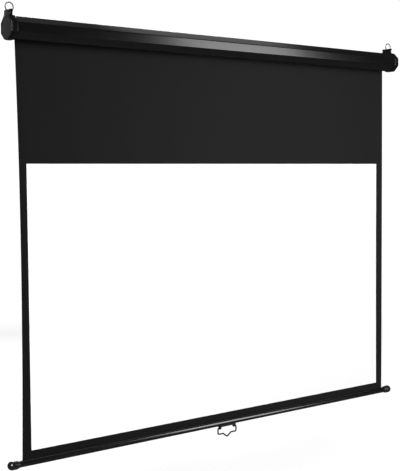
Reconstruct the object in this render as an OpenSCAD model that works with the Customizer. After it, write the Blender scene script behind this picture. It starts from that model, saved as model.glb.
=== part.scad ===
// Manual pull-down projection screen: spring roller in an octagonal case, framed sheet, weight bar.
// Millimetres. X runs along the screen, +Y goes into the wall and +Z is up.
// The origin is the middle of the case's back face, on the roller's level.

/* [Screen sheet] */
// Width of the white viewing area
view_w = 1771; // [1200:1:2400]
// Height of the white viewing area
view_h = 996; // [700:1:1400]
// Black border beside the viewing area
side_border = 36; // [20:1:60]
// Black drop between the case's bottom and the viewing area
top_drop = 416; // [150:1:700]
// Black border between the viewing area and the weight bar
bottom_border = 28; // [20:1:60]
// Thickness of the sheet
sheet_t = 0.5; // [0.4:0.05:0.7]
// Thickness of the white coating on the sheet's face
coat_t = 0.15; // [0.1:0.05:0.2]
// How far the left edge is drawn in at its middle
draw_left = 9; // [0:0.5:15]
// How far the right edge is drawn in at its middle
draw_right = 2; // [0:0.5:15]

/* [Case] */
// Width across the flats of the octagonal case
case_af = 76; // [74:0.5:90]
// Thickness of the case's sheet steel
case_wall = 1; // [0.8:0.1:1.4]
// Outside radius of the case's bends
case_bend = 3; // [2:0.25:4]
// Width of the slot that the sheet hangs through
slot_w = 15; // [12:0.5:17]
// Height of the folded lips along the slot
lip_h = 6; // [4:0.5:8]
// Room beside the roller for the brackets and the ratchet
end_room = 17; // [16:0.5:22]

/* [End caps] */
// Thickness of the end cap outside the case
cap_t = 22; // [18:0.5:26]
// How far the cap stands out around the case
cap_over = 3; // [2:0.25:4.5]
// Radius of the cap's corners
cap_corner = 9; // [6:0.5:12]
// Width of the rounded outer rim
cap_rim = 4; // [3:0.5:6]
// How far the cap reaches over the case's end
sleeve_len = 6; // [4:0.5:7]
// Length of the slope from the sleeve's thin lip to its full size
sleeve_slope = 5; // [2:0.5:6]
// Length of the cap's spigot inside the case
spigot_len = 16; // [14:0.5:17]
// Wall of the spigot
spigot_wall = 2.5; // [2:0.25:3]
// Thickness of the hanging neck
neck_t = 9; // [7:0.5:10]
// Height of the neck's top above the roller's axis
neck_top = 62; // [59:0.5:66]
// How far the neck's waist reaches out from the wall
neck_waist = 46; // [42:0.5:48]
// How far the neck's flared top reaches out from the wall
neck_flare = 50; // [48:0.5:54]
// How far the neck's hole stands behind the middle of the case
neck_back = 8; // [4:0.5:10]

/* [Hanging rings] */
// Outside diameter of a hanging ring
ring_d = 34; // [30:0.5:38]
// Diameter of the ring's wire
ring_wire = 4; // [3:0.25:4.5]
// Radius of the hole through the neck
ring_hole_r = 3.5; // [3:0.1:4]
// Material above the hole
hole_cover = 3.8; // [3:0.1:5]

/* [Roller] */
// Outside diameter of the roller tube
tube_d = 38; // [36:0.5:40]
// Wall of the roller tube
tube_wall = 1; // [0.8:0.1:1.5]
// How far the roller reaches past the sheet's edge
roller_over = 2.5; // [1:0.5:5]
// Turns the roller makes over the whole pull
roller_turns = 10.5; // [9:0.25:12]
// Turns of sheet that stay on the roller
turns_left = 1.25; // [1:0.25:1.5]
// Air between two turns of sheet
turn_gap = 0.45; // [0.42:0.01:0.6]
// Thickness of the tape that holds the sheet to the tube
tape_t = 0.2; // [0.1:0.05:0.3]
// Length of each plug inside the tube
plug_len = 27; // [22:1:34]
// Thickness of each plug's flange
flange_t = 3; // [2:0.25:3.5]

/* [Spring and ratchet] */
// Diameter of the fixed arbor and of the idler pin
arbor_d = 8; // [7:0.25:9]
// Wire of the counterbalance spring
spring_wire = 2.2; // [1.8:0.1:2.6]
// Mean diameter of the spring
spring_d = 21; // [19:0.5:23]
// Curls of the spring
spring_curls = 30; // [20:1:36]
// Step from one curl to the next
spring_pitch = 6; // [5:0.25:7]
// Radius of the ratchet hub
hub_r = 8; // [7.5:0.1:8.5]
// Distance of a pawl's pin from the roller's axis
pawl_pivot_r = 16; // [15.5:0.1:17]
// Length of a pawl from its pin to its nose
pawl_len = 12.5; // [12:0.1:13]
// Thickness of a pawl
pawl_t = 4; // [3:0.25:5]
// Radius of a pawl's pin
pawl_pin_r = 1.5; // [1.2:0.1:1.8]

/* [Brackets] */
// Thickness of the steel end brackets
bracket_t = 2.5; // [2:0.25:3]
// Width of the arbor's flat tang
tang_w = 3.2; // [3:0.1:4]

/* [Weight bar] */
// Diameter of the weight bar
bar_d = 24; // [20:0.5:28]
// Wall of the weight bar
bar_wall = 1.2; // [1:0.1:1.6]
// How far the bar's tube reaches past the sheet
bar_over = 12; // [6:0.5:20]
// Slot along the bar's top
bar_slot = 3; // [2:0.25:4]
// Diameter of the rod inside the hem
rod_d = 6; // [5:0.25:7]
// Diameter of the rounded end plugs
knob_d = 32; // [28:0.5:36]
// Length of an end plug outside the tube
knob_len = 44; // [38:0.5:52]
// Length of an end plug inside the tube
knob_spigot = 22; // [15:1:30]

/* [Pull handle] */
// Outside width of the wire handle
handle_w = 100; // [90:1:120]
// Diameter of the handle's wire
handle_wire = 6; // [4:0.25:7]
// Drop from the hinge to the handle's straight runs
handle_drop = 24; // [18:0.5:34]
// Drop from the runs to the tip of the finger notch
notch_drop = 15; // [8:0.5:22]
// Half width of the finger notch
notch_half = 20; // [16:0.5:26]
// Bend radius of the handle's wire
handle_bend = 6; // [4:0.25:7]
// Thickness of the handle's base under the bar
base_t = 4; // [3:0.25:6]
// Width of the handle's base
base_w = 15; // [12:0.5:18]

/* [Clearances] */
// Radial clearance of every turning fit
run_fit = 0.05; // [0.02:0.01:0.09]
// Clearance of every fixed fit
set_fit = 0.1; // [0.05:0.01:0.2]
// Gap that keeps cloth off its neighbours
cloth_gap = 0.3; // [0.2:0.05:0.4]
// Gap between the raised end plugs and the caps
stop_gap = 1.5; // [1:0.25:4]

/* [Hidden] */
$fn = 96;

oct_t = tan(22.5);
axis_y = -case_af / 2;
tube_r = tube_d / 2;
arbor_r = arbor_d / 2;
tube_in = tube_r - tube_wall;

sheet_w = view_w + 2 * side_border;
roller_half = sheet_w / 2 + roller_over;
cap_in = roller_half + end_room;
cap_out = cap_in + cap_t;
cap_af = case_af + 2 * cap_over;
sleeve_lip = 0.8;

turn_step = sheet_t + turn_gap;
tape_r = tube_r + set_fit / 5;
tape_arc = 24;
first_r = tape_r + tape_t + set_fit;
last_r = first_r + turns_left * turn_step + sheet_t / 2;
sheet_y = axis_y + last_r;
sheet_top = -cloth_gap;

case_bottom = -case_af / 2;
view_top = case_bottom - top_drop;
view_bottom = view_top - view_h;
bar_r = bar_d / 2;
bar_z = view_bottom - bottom_border - bar_r;
knob_r = knob_d / 2;
bar_up_z = -cap_af / 2 - knob_r - stop_gap;
pull = bar_up_z - bar_z;
mean_wrap_r = pull / (360 * roller_turns * PI / 180);

slot_front = last_r - slot_w / 2;
slot_rear = last_r + slot_w / 2;
slot_rear_z = slot_rear - case_af / 2 * (1 + oct_t);

neck_y = axis_y + neck_back;
neck_x = cap_in;
neck_mid = neck_x + neck_t / 2;
neck_shoulder = 0.78 * case_af;
neck_foot_z = 0.3 * case_af;
neck_waist_z = neck_top - 11;
neck_slope_z = neck_foot_z - 10;
ring_r = ring_d / 2 - ring_wire / 2;
ring_rise = ring_r - sqrt(ring_r * ring_r - neck_t * neck_t / 4);
hole_z = neck_top - hole_cover - ring_hole_r;
wire_z = hole_z + ring_hole_r - ring_wire / 2 - ring_rise - 2 * set_fit;

head_x = roller_half + flange_t;
pawl_gap = 0.4;
pawl_x = head_x + pawl_gap;
hub_x = pawl_x + set_fit;
hub_end = pawl_x + pawl_t + pawl_gap;
pin_end = hub_end + 0.7;
nose_r = 1;
pawl_boss = pawl_pin_r + 1.7;
nose_free = hub_r + nose_r + 0.4;
nose_in = hub_r - 0.8;
notch_room = 0.6;
spring_from = roller_half - plug_len - cloth_gap - spring_wire / 2;
spring_to = spring_from - spring_curls * spring_pitch;
collar_x = spring_to - spring_wire / 2 - cloth_gap;
collar_t = 12;
collar_r = tube_in - 3;

tang_h = arbor_d + 1;
screw_r = 1.5;
screw_head_r = 3.2;
screw_head_t = 2;
screw_x = cap_in - sleeve_len - screw_head_r - 1;
spigot_af = case_af - 2 * case_wall - 2 * set_fit;
bracket_af = spigot_af - 2 * spigot_wall - 1.8;
bracket_seat = 6.5;
bracket_screw_r = bracket_af / 2 - screw_head_r - 0.3;

rod_r = rod_d / 2;
loop_in = rod_r + set_fit;
loop_out = loop_in + sheet_t;
rod_z = bar_z + bar_r - bar_wall - cloth_gap - loop_out;
bar_half = sheet_w / 2 + bar_over;
handle_r = handle_wire / 2;
side_x = handle_w / 2 - handle_r;
eye_r = handle_r + 2.5;
eye_t = 8;
eye_x = side_x - handle_bend - 0.5 - eye_t;
bend_thin = 0.01;
bend_lap = 0.2;
hinge_z = bar_z - bar_r - base_t - eye_r + 1;
handle_screw_x = eye_x / 2;

// How far a pawl turns between its free and its locked place
function pawl_lean(rho) = acos((pow(pawl_pivot_r, 2) + pow(pawl_len, 2) - rho * rho) / (2 * pawl_pivot_r * pawl_len));
pawl_swing = pawl_lean(nose_free) - pawl_lean(nose_in);

echo(pull_mm = pull, roller_rad_per_m = 1000 / mean_wrap_r, roller_deg = roller_turns * 360, pawl_swing_deg = pawl_swing);
echo(sheet_y = sheet_y, bar_z = bar_z, hinge_z = hinge_z, wire_z = wire_z, neck_y = neck_y, neck_mid = neck_mid, view_bottom = view_bottom);

// An octagon on its flats with round corners, as a list of points
function octagon(af, r) = [for (k = [0:7]) for (j = [0:4])
    (af / 2 - r) / cos(22.5) * [cos(22.5 + 45 * k), sin(22.5 + 45 * k)]
    + r * [cos(45 * (k + j / 4)), sin(45 * (k + j / 4))]];

// Points of a half ring or a spiral from radius and angle lists
function polar(r, a) = [r * cos(a), r * sin(a)];

// An outline drawn in Y and Z, extruded from x0 to x1
module along_x(x0, x1) {
    translate([x0, 0, 0]) rotate([90, 0, 90]) linear_extrude(height = x1 - x0) children();
}

// The same, with its outline centred on the roller's axis
module on_axis(x0, x1) {
    translate([0, axis_y, 0]) along_x(x0, x1) children();
}

// A round bar along X on the roller's axis
module axle(x0, x1, r) {
    translate([x0, axis_y, 0]) rotate([0, 90, 0]) cylinder(h = x1 - x0, r = r);
}

// The left-hand twin of a piece drawn at the right end
module left_side() {
    mirror([1, 0, 0]) children();
}

// Case

module case_outline() {
    difference() {
        polygon(octagon(case_af, case_bend));
        polygon(octagon(case_af - 2 * case_wall, case_bend - case_wall));
        translate([slot_front, -case_af]) square([slot_w, case_af - lip_h - 4]);
    }
    translate([slot_front - case_wall, case_bottom]) square([case_wall, lip_h]);
    translate([slot_rear, slot_rear_z + case_wall]) square([case_wall, lip_h - case_wall]);
}

// Screw places: one on the top facet and one on the rear upper facet
module screw_place(lean) {
    translate([screw_x, axis_y, 0]) rotate([-lean, 0, 0]) translate([0, 0, case_af / 2]) children();
}

module case_shell() {
    color("#1c1c1e") difference() {
        on_axis(-cap_in, cap_in) case_outline();
        for (side = [0, 1]) mirror([side, 0, 0]) for (lean = [0, 45])
            screw_place(lean) translate([0, 0, -3]) cylinder(h = 4, r = screw_r + set_fit);
    }
}

// End caps

// Reach of the neck from the wall at height z: a bottle shoulder, then a flare to the top
function neck_reach(z) = z < neck_waist_z
    ? neck_waist + (neck_shoulder - neck_waist) * pow((neck_waist_z - z) / (neck_waist_z - neck_foot_z), 2.2)
    : neck_waist + (neck_flare - neck_waist) * pow(min(1, (z - neck_waist_z) / 6), 2);

neck_levels = [for (k = [0:12]) neck_foot_z + (neck_waist_z - neck_foot_z) * k / 12];
flare_levels = [for (k = [1:4]) neck_waist_z + 6 * k / 4];
neck_side = [for (z = concat(neck_levels, flare_levels, [neck_top])) [-neck_reach(z), z]];

module neck_outline() {
    polygon(concat(neck_side, [[0, neck_top], [0, neck_foot_z]]));
}

// The neck, whose outer face slopes out to the cap's face below its waist
module neck() {
    intersection() {
        along_x(neck_x, cap_out - 1) neck_outline();
        rotate([90, 0, 0]) linear_extrude(height = 2 * case_af) polygon([[neck_x - 1, 0], [neck_x - 1, neck_top + 1],
            [neck_x + neck_t, neck_top + 1], [neck_x + neck_t, neck_waist_z], [cap_out - 1, neck_slope_z], [cap_out - 1, 0]]);
    }
}

module cap_block() {
    hull() {
        on_axis(cap_in, cap_out - cap_rim) polygon(octagon(cap_af, cap_corner));
        on_axis(cap_out - cap_rim * 0.4, cap_out - cap_rim * 0.3)
            polygon(octagon(cap_af - cap_rim * 0.6, cap_corner - cap_rim * 0.3));
        on_axis(cap_out - 0.1, cap_out) polygon(octagon(cap_af - 2 * cap_rim, cap_corner - cap_rim * 0.5));
    }
}

module spigot_outline() {
    difference() {
        polygon(octagon(spigot_af, case_bend - case_wall));
        polygon(octagon(spigot_af - 2 * spigot_wall, case_bend));
        translate([slot_front - 3, -case_af]) square([slot_w + 6, case_af - lip_h]);
    }
}

// The part of the cap round the case's end, which slopes up from a thin lip
module sleeve() {
    difference() {
        hull() {
            on_axis(cap_in - sleeve_len, cap_in - sleeve_len + 0.3) polygon(octagon(case_af + 2 * sleeve_lip, case_bend + sleeve_lip));
            on_axis(cap_in - sleeve_len + sleeve_slope, cap_in + 1) polygon(octagon(cap_af, cap_corner));
        }
        on_axis(cap_in - sleeve_len - 1, cap_in + 2) polygon(octagon(case_af + 2 * set_fit, case_bend + set_fit));
    }
}

module end_cap() {
    color("#2b2b2d") difference() {
        union() {
            intersection() {
                union() {
                    cap_block();
                    sleeve();
                }
                translate([0, -2 * case_af, -case_af]) cube([2 * cap_out, 2 * case_af, 2 * case_af]);
            }
            neck();
            on_axis(cap_in - spigot_len, cap_in + 1) spigot_outline();
        }
        on_axis(cap_in - 1, cap_in + bracket_t) polygon(octagon(bracket_af, case_bend));
        on_axis(cap_in, cap_out - 4) polygon(octagon(bracket_af - 2 * bracket_seat, case_bend));
        translate([cap_in - 1, neck_y, hole_z]) rotate([0, 90, 0]) cylinder(h = cap_t, r = ring_hole_r);
        for (lean = [0, 45])
            screw_place(lean) translate([0, 0, -8]) cylinder(h = 8, r = screw_r + set_fit);
        for (side = [-1, 1])
            translate([cap_in, axis_y + side * bracket_screw_r, 0]) rotate([0, 90, 0])
                cylinder(h = 11, r = screw_r + set_fit);
    }
}

module left_end_cap() { left_side() end_cap(); }
module right_end_cap() { end_cap(); }

// A pan-head screw whose head stands on z = 0 and whose shank goes down
module pan_screw(shank) {
    difference() {
        union() {
            cylinder(h = screw_head_t, r1 = screw_head_r, r2 = screw_head_r - 0.8);
            translate([0, 0, -shank]) cylinder(h = shank + 0.1, r = screw_r);
        }
        translate([0, 0, screw_head_t]) cube([3.6, 0.9, 2], center = true);
        translate([0, 0, screw_head_t]) cube([0.9, 3.6, 2], center = true);
    }
}

module end_cap_screws() {
    color("#8a8a8c") for (side = [0, 1]) mirror([side, 0, 0]) for (lean = [0, 45])
        screw_place(lean) pan_screw(5);
}

// Brackets

module bracket_plate() {
    difference() {
        on_axis(cap_in + set_fit, cap_in + bracket_t) polygon(octagon(bracket_af - 2 * set_fit, case_bend));
        for (side = [-1, 1])
            translate([cap_in - 1, axis_y + side * bracket_screw_r, 0]) rotate([0, 90, 0])
                cylinder(h = 6, r = screw_r + set_fit);
    }
}

module left_bracket() {
    color("#9a9b9d") left_side() difference() {
        bracket_plate();
        translate([cap_in + bracket_t / 2, axis_y, 0])
            cube([3 * bracket_t, tang_w + 2 * set_fit, tang_h + 2 * set_fit], center = true);
    }
}

module right_bracket() {
    color("#9a9b9d") difference() {
        bracket_plate();
        axle(cap_in - 1, cap_in + bracket_t + 1, arbor_r + set_fit);
    }
}

module bracket_screws() {
    color("#b5b6b8") for (end = [0, 1]) mirror([end, 0, 0]) for (side = [-1, 1])
        translate([cap_in + set_fit, axis_y + side * bracket_screw_r, 0]) rotate([0, -90, 0]) pan_screw(9);
}

// Spring and ratchet, at the left end

module spade_arbor() {
    color("#a9aaac") left_side() {
        translate([cap_in - 2, axis_y - tang_w / 2, -tang_h / 2]) cube([bracket_t + 7, tang_w, tang_h]);
        axle(collar_x - collar_t, cap_in - 2, arbor_r);
        axle(hub_end + set_fit, cap_in - 2, arbor_r + 1.5);
    }
}

// A pawl's outline, drawn about its pin, leaning by the given angle and grown all round
module pawl_outline(lean, grow) {
    nose = pawl_len * [-sin(lean), -cos(lean)];
    side = [cos(lean), -sin(lean)];
    wide = pawl_boss - 0.6 + grow;
    thin = nose_r + grow;
    circle(r = pawl_boss + grow);
    polygon([-wide * side, nose - thin * side, nose + thin * side, wide * side]);
    translate(nose) circle(r = thin);
}

module ratchet_hub() {
    color("#b08d4a") left_side() on_axis(hub_x, hub_end) difference() {
        circle(r = hub_r);
        circle(r = arbor_r + set_fit / 2);
        for (turn = [0:90:270]) rotate(turn) translate([0, pawl_pivot_r])
            pawl_outline(pawl_lean(nose_in), notch_room);
    }
}

module pawl(turn) {
    color("#c9cacc") left_side() on_axis(pawl_x, pawl_x + pawl_t) rotate(turn)
        translate([0, pawl_pivot_r]) difference() {
            pawl_outline(pawl_lean(nose_free), 0);
            circle(r = pawl_pin_r + run_fit);
        }
}

module upper_pawl() { pawl(0); }
module lower_pawl() { pawl(180); }

module pawl_pins() {
    color("#d6d7d9") left_side() for (up = [-1, 1]) translate([0, 0, up * pawl_pivot_r]) {
        axle(head_x - flange_t + set_fit, pin_end, pawl_pin_r);
        axle(pawl_x + pawl_t + set_fit, pin_end, pawl_pin_r + 1.1);
    }
}

module ratchet_head() {
    color("#3a3b3d") left_side() difference() {
        union() {
            axle(roller_half - plug_len, roller_half, tube_in - set_fit);
            axle(roller_half + set_fit / 2, head_x, pawl_pivot_r + pawl_pin_r + 4);
            axle(roller_half - 1, roller_half + 1, tube_in - 1);
        }
        axle(roller_half - plug_len - 1, head_x + 1, arbor_r + run_fit);
        for (up = [-1, 1]) translate([0, 0, up * pawl_pivot_r])
            axle(roller_half, head_x + 1, pawl_pin_r + set_fit / 2);
    }
}

// Ring k of the spring: six points about the wire's centre line
spring_rings = spring_curls * 8;
function spring_ring(k) = let (a = 360 * k / 8, p = polar(1, a))
    [for (j = [0:5]) let (q = spring_d / 2 + spring_wire / 2 * cos(60 * j))
        [spring_pitch * k / 8 + spring_wire / 2 * sin(60 * j), q * p[0], q * p[1]]];
spring_points = [for (k = [0:spring_rings]) each spring_ring(k)];
spring_sides = [for (k = [0:spring_rings - 1]) for (j = [0:5]) let (a = 6 * k + j, b = 6 * k + (j + 1) % 6)
    each [[a, b, b + 6], [a, b + 6, a + 6]]];
spring_ends = concat([for (j = [1:4]) [0, j + 1, j]],
    [for (j = [1:4]) [6 * spring_rings, 6 * spring_rings + j, 6 * spring_rings + j + 1]]);
echo(spring_gap_mm = norm(spring_ring(8)[0] - spring_ring(0)[0]) - spring_wire);

module torsion_spring() {
    color("#77787a") left_side() translate([spring_to, axis_y, 0])
        polyhedron(points = spring_points, faces = concat(spring_sides, spring_ends));
}

module spring_collar() {
    color("#3a3b3d") left_side() difference() {
        axle(collar_x - collar_t, collar_x, collar_r);
        axle(collar_x - collar_t - 1, collar_x + 1, arbor_r + set_fit / 2);
    }
}

// Roller

module roller_tube() {
    color("#b9babc") difference() {
        axle(-roller_half, roller_half, tube_r);
        axle(-roller_half - 1, roller_half + 1, tube_in);
    }
}

// The sheet comes up behind the roller, goes over it and winds inwards to the tape
wrap_end = 360 * turns_left;
wrap_steps = 120;
wrap_angles = [for (k = [0:wrap_steps]) wrap_end * k / wrap_steps];
function wrap_r(a) = first_r + turn_step * (wrap_end - a) / 360;
echo(wrap_gap_mm = min([for (a = wrap_angles) wrap_r(a) - wrap_r(a + 360) - sheet_t]));

module fabric_tape() {
    color("#d8d2b0") on_axis(-sheet_w / 2, sheet_w / 2) intersection() {
        difference() {
            circle(r = tape_r + tape_t);
            circle(r = tape_r);
        }
        polygon([[0, 0], polar(tube_d, wrap_end - tape_arc), polar(tube_d, wrap_end)]);
    }
}

module fabric_wraps() {
    color("#202022") on_axis(-sheet_w / 2, sheet_w / 2)
        polygon(concat([for (a = wrap_angles) polar(wrap_r(a) + sheet_t, a)],
            [for (k = [wrap_steps:-1:0]) polar(wrap_r(wrap_angles[k]), wrap_angles[k])]));
}

module idler_plug() {
    color("#3a3b3d") difference() {
        union() {
            axle(roller_half - plug_len, roller_half, tube_in - set_fit);
            axle(roller_half + set_fit / 2, head_x, tube_r);
            axle(roller_half - 1, roller_half + 1, tube_in - 1);
        }
        axle(roller_half - plug_len - 1, head_x + 1, arbor_r + 3 + set_fit);
    }
}

module idler_bush() {
    color("#e4e2da") difference() {
        union() {
            axle(roller_half - plug_len + 2, head_x + 2, arbor_r + 3);
            axle(head_x + set_fit, head_x + 2, arbor_r + 5);
        }
        axle(roller_half - plug_len, head_x + 3, arbor_r + run_fit);
    }
}

module idler_pin() {
    color("#a9aaac") {
        axle(roller_half - plug_len + 4, cap_in + bracket_t + 2, arbor_r);
        axle(cap_in - 3, cap_in, arbor_r + 3);
        axle(cap_in + bracket_t + set_fit, cap_in + bracket_t + 2, arbor_r + 1.5);
    }
}

// Sheet

edge_levels = 24;
edge_span = view_bottom - sheet_top;
function edge_z(k) = sheet_top + edge_span * k / edge_levels;
function edge_draw(k) = let (full = bar_z + bar_r - case_bottom, t = (edge_z(k) - case_bottom) / full)
    t < 0 ? 0 : 4 * t * (1 - t);

module sheet_outline() {
    polygon(concat([for (k = [0:edge_levels]) [sheet_w / 2 - draw_right * edge_draw(k), edge_z(k)]],
        [for (k = [edge_levels:-1:0]) [-sheet_w / 2 + draw_left * edge_draw(k), edge_z(k)]]));
}

module screen_fabric() {
    color("#1f1f21") difference() {
        translate([0, sheet_y + sheet_t / 2, 0]) rotate([90, 0, 0])
            linear_extrude(height = sheet_t) sheet_outline();
        translate([-view_w / 2, sheet_y - sheet_t, view_bottom - 1])
            cube([view_w, sheet_t / 2 + coat_t, view_h + 1]);
    }
}

module viewing_surface() {
    color("#fafafa") translate([-view_w / 2, sheet_y - sheet_t / 2, view_bottom])
        cube([view_w, coat_t, view_h]);
}

module fabric_hem() {
    color("#1f1f21") translate([0, sheet_y, 0]) along_x(-sheet_w / 2, sheet_w / 2) {
        translate([-sheet_t / 2, rod_z + loop_in + sheet_t / 2])
            square([sheet_t, view_bottom - rod_z - loop_in - sheet_t / 2 - 0.02]);
        difference() {
            translate([0, rod_z]) circle(r = loop_out);
            translate([0, rod_z]) circle(r = loop_in);
        }
    }
}

// Weight bar

module weight_bar() {
    color("#19191b") difference() {
        translate([0, sheet_y, bar_z]) along_x(-bar_half, bar_half) difference() {
            circle(r = bar_r);
            circle(r = bar_r - bar_wall);
            translate([-bar_slot / 2, 0]) square([bar_slot, bar_r + 1]);
        }
        for (side = [-1, 1])
            translate([side * handle_screw_x, sheet_y, bar_z - bar_r - 1])
                cylinder(h = bar_wall + 2, r = screw_r + set_fit);
    }
}

module hem_rod() {
    color("#c4c5c7") translate([0, sheet_y, rod_z]) along_x(-sheet_w / 2, sheet_w / 2) circle(r = rod_r);
}

// Profile of the end plug from the tube's end to the round tip
knob_arc = [for (k = [0:12]) let (a = 90 * k / 12)
    [knob_r * cos(a), knob_len - knob_r + knob_r * sin(a)]];

module bar_plug() {
    color("#19191b") difference() {
        translate([bar_half, sheet_y, bar_z]) rotate([0, 90, 0]) rotate_extrude() {
            polygon(concat([[0, set_fit], [bar_r + 0.6, set_fit], [bar_r + 1.2, 3], [knob_r - 0.8, 11],
                [knob_r - 0.2, 14]], knob_arc));
            translate([0, -knob_spigot]) square([bar_r - bar_wall - set_fit, knob_spigot + 1]);
        }
        // Room for the hem's end inside the tube
        translate([bar_half - knob_spigot - 1, sheet_y - loop_out - cloth_gap, rod_z - loop_out - cloth_gap])
            cube([knob_spigot - bar_over + 1 + cloth_gap, 2 * (loop_out + cloth_gap), bar_d]);
    }
}

module left_bar_plug() { left_side() bar_plug(); }
module right_bar_plug() { bar_plug(); }

// Pull handle

module handle_base() {
    color("#232325") difference() {
        translate([0, sheet_y, 0]) {
            along_x(-eye_x - eye_t, eye_x + eye_t) difference() {
                translate([-base_w / 2, bar_z - bar_r - base_t]) square([base_w, base_t + 3]);
                translate([0, bar_z]) circle(r = bar_r + set_fit);
            }
            for (side = [-1, 1]) along_x(side * (eye_x + eye_t / 2) - eye_t / 2, side * (eye_x + eye_t / 2) + eye_t / 2) {
                translate([0, hinge_z]) circle(r = eye_r);
                translate([-eye_r, hinge_z]) square([2 * eye_r, eye_r + 0.5]);
            }
        }
        translate([-handle_w, sheet_y, hinge_z]) rotate([0, 90, 0]) cylinder(h = 2 * handle_w, r = handle_r + run_fit);
        for (side = [-1, 1]) translate([side * handle_screw_x, sheet_y, 0]) {
            translate([0, 0, bar_z - bar_r - base_t - 1]) cylinder(h = base_t + 3, r = screw_r + set_fit);
            translate([0, 0, bar_z - bar_r - base_t - 1]) cylinder(h = 2, r = screw_head_r + set_fit);
        }
    }
}

module handle_screws() {
    color("#8a8a8c") for (side = [-1, 1])
        translate([side * handle_screw_x, sheet_y, bar_z - bar_r - base_t + 1]) rotate([180, 0, 0])
            pan_screw(base_t + bar_wall);
}

// A wire bent in the XZ plane: cylinders between the corners and a round bend at each corner.
// A bend is a hair thinner than the straights and reaches a little way into them.
function unit(v) = v / norm(v);
function turn_at(p, k) = let (u = unit(p[k] - p[k - 1]), v = unit(p[k + 1] - p[k]))
    atan2(u[0] * v[1] - u[1] * v[0], u * v);
function trim_at(p, k, r) = k == 0 || k == len(p) - 1 ? 0 : r * tan(abs(turn_at(p, k)) / 2);

module wire_straight(a, b, r) {
    d = b - a;
    translate([a[0], 0, a[1]]) rotate([0, 90 - atan2(d[1], d[0]), 0]) cylinder(h = norm(d), r = r);
}

module wire_bend(p, k, bend, r) {
    turn = turn_at(p, k);
    u = unit(p[k] - p[k - 1]);
    s = sign(turn);
    start = p[k] - trim_at(p, k, bend) * u;
    centre = start + bend * s * [-u[1], u[0]];
    from = atan2(start[1] - centre[1], start[0] - centre[0]);
    lap = bend_lap / bend * 180 / PI;
    translate([centre[0], 0, centre[1]]) rotate([90, 0, 0])
        rotate([0, 0, (s > 0 ? from : from + turn) - lap])
            rotate_extrude(angle = abs(turn) + 2 * lap) translate([bend, 0]) circle(r = r - bend_thin);
}

module bent_wire(p, bend, r) {
    for (k = [0:len(p) - 2]) {
        u = unit(p[k + 1] - p[k]);
        wire_straight(p[k] + trim_at(p, k, bend) * u, p[k + 1] - trim_at(p, k + 1, bend) * u, r);
    }
    for (k = [1:len(p) - 2]) wire_bend(p, k, bend, r);
}

// Corners of the handle's right half, from the pin's end to the notch, measured from the hinge
handle_half = [[eye_x + 1, 0], [side_x, 0], [side_x, -handle_drop], [notch_half, -handle_drop]];

module pull_handle() {
    color("#1a1a1c") translate([0, sheet_y, hinge_z])
        bent_wire(concat([for (p = handle_half) [-p[0], p[1]]], [[0, -handle_drop - notch_drop]],
            [for (k = [3:-1:0]) handle_half[k]]), handle_bend, handle_r);
}

// Hanging rings

module hanging_ring() {
    color("#c8cacc") translate([neck_mid, neck_y, wire_z + ring_r]) rotate([90, 0, 0])
        rotate_extrude() translate([ring_r, 0]) circle(r = ring_wire / 2);
}

module left_ring() { left_side() hanging_ring(); }
module right_ring() { hanging_ring(); }

case_shell();
left_end_cap();
right_end_cap();
end_cap_screws();
left_bracket();
right_bracket();
bracket_screws();
spade_arbor();
ratchet_hub();
torsion_spring();
spring_collar();
idler_pin();
roller_tube();
fabric_tape();
fabric_wraps();
ratchet_head();
pawl_pins();
upper_pawl();
lower_pawl();
idler_plug();
idler_bush();
screen_fabric();
viewing_surface();
fabric_hem();
weight_bar();
hem_rod();
left_bar_plug();
right_bar_plug();
handle_base();
handle_screws();
pull_handle();
left_ring();
right_ring();
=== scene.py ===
"""Dresses the manual pull-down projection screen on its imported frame.

Metres, in the frame of the solids: X along the screen, +Y into the wall and +Z up. The origin is the
middle of the case's back face, on the level of the roller's axis.
"""

import logging
import math
from dataclasses import dataclass, replace
from enum import Enum

import bpy
import numpy as np
from mathutils import Matrix, Vector


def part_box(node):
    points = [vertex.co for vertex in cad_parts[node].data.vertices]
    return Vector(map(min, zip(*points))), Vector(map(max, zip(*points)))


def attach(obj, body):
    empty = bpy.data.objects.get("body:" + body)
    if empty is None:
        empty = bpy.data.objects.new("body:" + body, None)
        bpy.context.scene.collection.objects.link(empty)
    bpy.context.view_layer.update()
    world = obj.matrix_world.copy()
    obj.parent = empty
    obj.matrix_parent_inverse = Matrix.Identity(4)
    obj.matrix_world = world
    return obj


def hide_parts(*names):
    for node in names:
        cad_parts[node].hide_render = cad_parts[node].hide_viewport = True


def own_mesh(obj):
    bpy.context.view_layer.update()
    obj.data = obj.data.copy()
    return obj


LOG = logging.getLogger("projection_screen")
Array = np.ndarray
MM = 0.001
SHARP = math.radians(33)
ROUND_SIDES, WIRE_SIDES = 64, 20
TINY = 1e-6

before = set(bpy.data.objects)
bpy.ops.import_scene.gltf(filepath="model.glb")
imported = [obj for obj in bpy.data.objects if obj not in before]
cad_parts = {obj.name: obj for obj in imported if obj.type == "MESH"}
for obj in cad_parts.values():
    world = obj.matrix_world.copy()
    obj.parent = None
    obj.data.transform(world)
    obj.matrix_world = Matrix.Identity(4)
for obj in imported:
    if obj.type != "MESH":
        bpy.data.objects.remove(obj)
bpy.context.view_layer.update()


# Flat outlines and the surfaces made from them


def unit(vectors: Array) -> Array:
    """Gives each vector of the last axis the length 1."""
    return vectors / np.linalg.norm(vectors, axis=-1, keepdims=True)


def left_of(vectors: Array) -> Array:
    """Turns flat vectors a quarter to the left: (a, b) becomes (-b, a)."""
    return np.stack([-vectors[..., 1], vectors[..., 0]], -1)


def turns_of(count: int) -> Array:
    """Angles of points evenly round a circle."""
    return np.linspace(0, 2 * np.pi, count, endpoint=False)


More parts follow.
